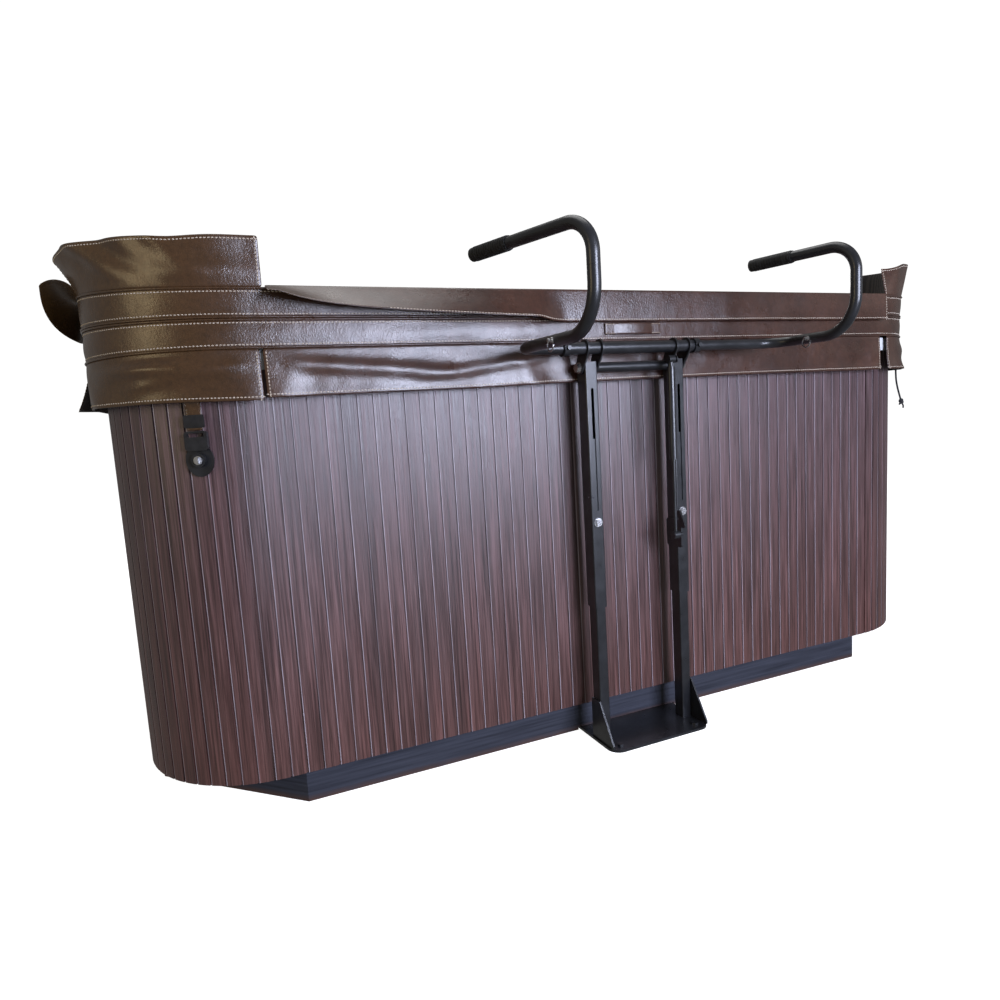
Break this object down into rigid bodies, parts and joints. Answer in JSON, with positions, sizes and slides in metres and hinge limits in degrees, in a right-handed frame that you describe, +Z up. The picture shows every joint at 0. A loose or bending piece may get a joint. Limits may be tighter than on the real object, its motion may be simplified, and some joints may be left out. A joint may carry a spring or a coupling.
{
  "type": "hot tub with folded cover and cover lifter",
  "caption": "Square portable spa with grooved cabinet, acrylic basin, folding padded vinyl cover folded onto the near half, and a swing-down cradle cover lifter with telescoping arms.",
  "frame": {"origin": "centre of the tub's footprint on the floor, on the underside of the plinth", "axes": "+Z up, +X to the right of someone facing the lifter side, +Y from the lifter side across the tub"},
  "size_m": [2.3774, 2.5608, 1.1397],
  "materials": {
    "base_board": "matt dark board",
    "black_plastic": "matt moulded",
    "timber": "sawn",
    "cabinet": "grooved wood-grain panel",
    "acrylic": "gloss acrylic",
    "jet_plastic": "satin",
    "filter_media": "pleated",
    "pump_metal": "painted",
    "stainless": "brushed",
    "white_pvc": "satin",
    "vinyl": "leather-grain coated fabric over foam",
    "black_cord": "braided",
    "black_paint": "satin powder coat",
    "zinc": "bright plated",
    "grip_rubber": "ribbed"
  },
  "bodies": {
    "tub": {"plinth": "base_board", "base_pan": "black_plastic", "cabinet_frame": "timber", "panel_front": "cabinet", "panel_back": "cabinet", "panel_left": "cabinet", "panel_right": "cabinet", "corner_panels": "cabinet", "shell": "acrylic", "jets": "jet_plastic", "suction_covers": "jet_plastic", "topside_panel": "black_plastic", "filter_canister": "black_plastic", "filter_cartridge": "filter_media", "pump": "pump_metal", "spa_pack": "black_plastic", "plumbing": "white_pvc", "cover_lower": "vinyl", "lower_skirt": "vinyl", "handle_strap": "vinyl", "hinge_seam": "vinyl", "lock_strap": "vinyl", "lock_buckle": "black_plastic", "lock_plate": "black_plastic", "tie_cord": "black_cord", "tie_knot": "black_cord", "lifter_base_plate": "black_paint", "lifter_gussets": "black_paint", "lifter_posts": "black_paint", "plate_screws": "black_paint"},
    "filter_lid": {"filter_lid": "jet_plastic"},
    "diverter_knob": {"diverter_knob": "jet_plastic"},
    "air_knob": {"air_knob": "jet_plastic"},
    "lock_key": {"lock_key": "stainless"},
    "cover_upper": {"cover_upper": "vinyl", "upper_skirt_left": "vinyl", "upper_skirt_right": "vinyl"},
    "upper_flap": {"upper_flap": "vinyl"},
    "left_side_flap": {"left_side_flap": "vinyl"},
    "right_side_flap": {"right_side_flap": "vinyl"},
    "mast": {"post_sleeves": "black_paint", "clamp_bolts": "zinc", "gas_bracket": "black_paint"},
    "gas_rod": {"gas_rod": "black_paint"},
    "gas_cylinder": {"gas_cylinder": "black_paint"},
    "cradle": {"cradle_brackets": "black_paint", "cross_tube": "black_paint", "pivot_bolts": "zinc", "main_bar": "black_paint", "bar_collars": "black_paint"},
    "left_leg": {"left_leg": "black_paint"},
    "right_leg": {"right_leg": "black_paint"},
    "left_ring_pin": {"left_ring_pin": "zinc"},
    "right_ring_pin": {"right_ring_pin": "zinc"},
    "left_elbow": {"left_elbow": "black_paint"},
    "right_elbow": {"right_elbow": "black_paint"},
    "left_cane": {"left_cane": "black_paint", "left_grip": "grip_rubber"},
    "right_cane": {"right_cane": "black_paint", "right_grip": "grip_rubber"}
  },
  "joints": [
    {"name": "cover_fold", "type": "hinge", "parent": "tub", "child": "cover_upper", "pos_m": [0, 0, 1.017], "axis": [-1, 0, 0], "range_deg": [0, 185.1]},
    {"name": "front_flap_drape", "type": "hinge", "parent": "cover_upper", "child": "upper_flap", "pos_m": [0, -1.1048, 1.02179], "axis": [-1, 0, 0], "range_deg": [0, 174.91]},
    {"name": "left_flap_drape", "type": "hinge", "parent": "cover_upper", "child": "left_side_flap", "pos_m": [-1.1, -0.00916, 1.11959], "axis": [0, 0.996, 0.0889], "range_deg": [0, 105.01]},
    {"name": "right_flap_drape", "type": "hinge", "parent": "cover_upper", "child": "right_side_flap", "pos_m": [1.1, -0.00916, 1.11959], "axis": [0, -0.996, -0.0889], "range_deg": [0, 105.01]},
    {"name": "height_adjust", "type": "slide", "parent": "tub", "child": "mast", "axis": [0, 0, 1], "range_m": [-0.12, 0]},
    {"name": "cradle_swing", "type": "hinge", "parent": "mast", "child": "cradle", "pos_m": [0, -1.127, 0.855], "axis": [1, 0, 0], "range_deg": [0, 90]},
    {"name": "gas_tilt", "type": "hinge", "parent": "mast", "child": "gas_rod", "pos_m": [0.08, -1.165, 0.465], "axis": [-1, 0, 0], "range_deg": [0, 4.56]},
    {"name": "gas_stroke", "type": "slide", "parent": "gas_rod", "child": "gas_cylinder", "axis": [0, 0, -1], "range_m": [0, 0.04699]},
    {"name": "left_leg_slide", "type": "slide", "parent": "cradle", "child": "left_leg", "axis": [-1, 0, 0], "range_m": [0, 0.1]},
    {"name": "right_leg_slide", "type": "slide", "parent": "cradle", "child": "right_leg", "axis": [1, 0, 0], "range_m": [-0.14, 0]},
    {"name": "left_pin_pull", "type": "slide", "parent": "left_leg", "child": "left_ring_pin", "axis": [-1, 0, 0], "range_m": [0, 0.008], "stiffness_N_per_m": 400, "springref_m": -0.004},
    {"name": "right_pin_pull", "type": "slide", "parent": "right_leg", "child": "right_ring_pin", "axis": [-1, 0, 0], "range_m": [0, 0.008], "stiffness_N_per_m": 400, "springref_m": -0.004},
    {"name": "left_elbow_slide", "type": "slide", "parent": "left_leg", "child": "left_elbow", "axis": [0, -1, 0], "range_m": [0, 0.045]},
    {"name": "right_elbow_slide", "type": "slide", "parent": "right_leg", "child": "right_elbow", "axis": [0, -1, 0], "range_m": [0, 0.025]},
    {"name": "left_cane_swivel", "type": "hinge", "parent": "left_elbow", "child": "left_cane", "pos_m": [-0.29, -1.457, 1], "axis": [0, 0, 1], "range_deg": [-16, 74]},
    {"name": "right_cane_swivel", "type": "hinge", "parent": "right_elbow", "child": "right_cane", "pos_m": [0.4, -1.382, 1], "axis": [0, 0, 1], "range_deg": [-90, 18]},
    {"name": "filter_lid_lift", "type": "slide", "parent": "tub", "child": "filter_lid", "axis": [0, 0, 1], "range_m": [0, 0.12]},
    {"name": "diverter_turn", "type": "hinge", "parent": "tub", "child": "diverter_knob", "pos_m": [0.985, 0.33, 0.9], "axis": [0, 0, 1], "range_deg": [-90, 90]},
    {"name": "air_turn", "type": "hinge", "parent": "tub", "child": "air_knob", "pos_m": [0.985, 0.19, 0.9], "axis": [0, 0, 1], "range_deg": [0, 90]},
    {"name": "lock_turn", "type": "hinge", "parent": "tub", "child": "lock_key", "pos_m": [-0.90992, -1.05262, 0.716], "axis": [-0.3846, -0.9231, 0], "range_deg": [0, 90]}
  ],
  "couplings": [
    {"joint": "front_flap_drape", "follows": "cover_fold", "ratio": 0.94488},
    {"joint": "left_flap_drape", "follows": "cover_fold", "ratio": 0.56726},
    {"joint": "right_flap_drape", "follows": "cover_fold", "ratio": 0.56726},
    {"joint": "gas_tilt", "follows": "cradle_swing", "ratio": 0.050534},
    {"joint": "gas_stroke", "follows": "cradle_swing", "m_per_rad": 0.02985}
  ]
}
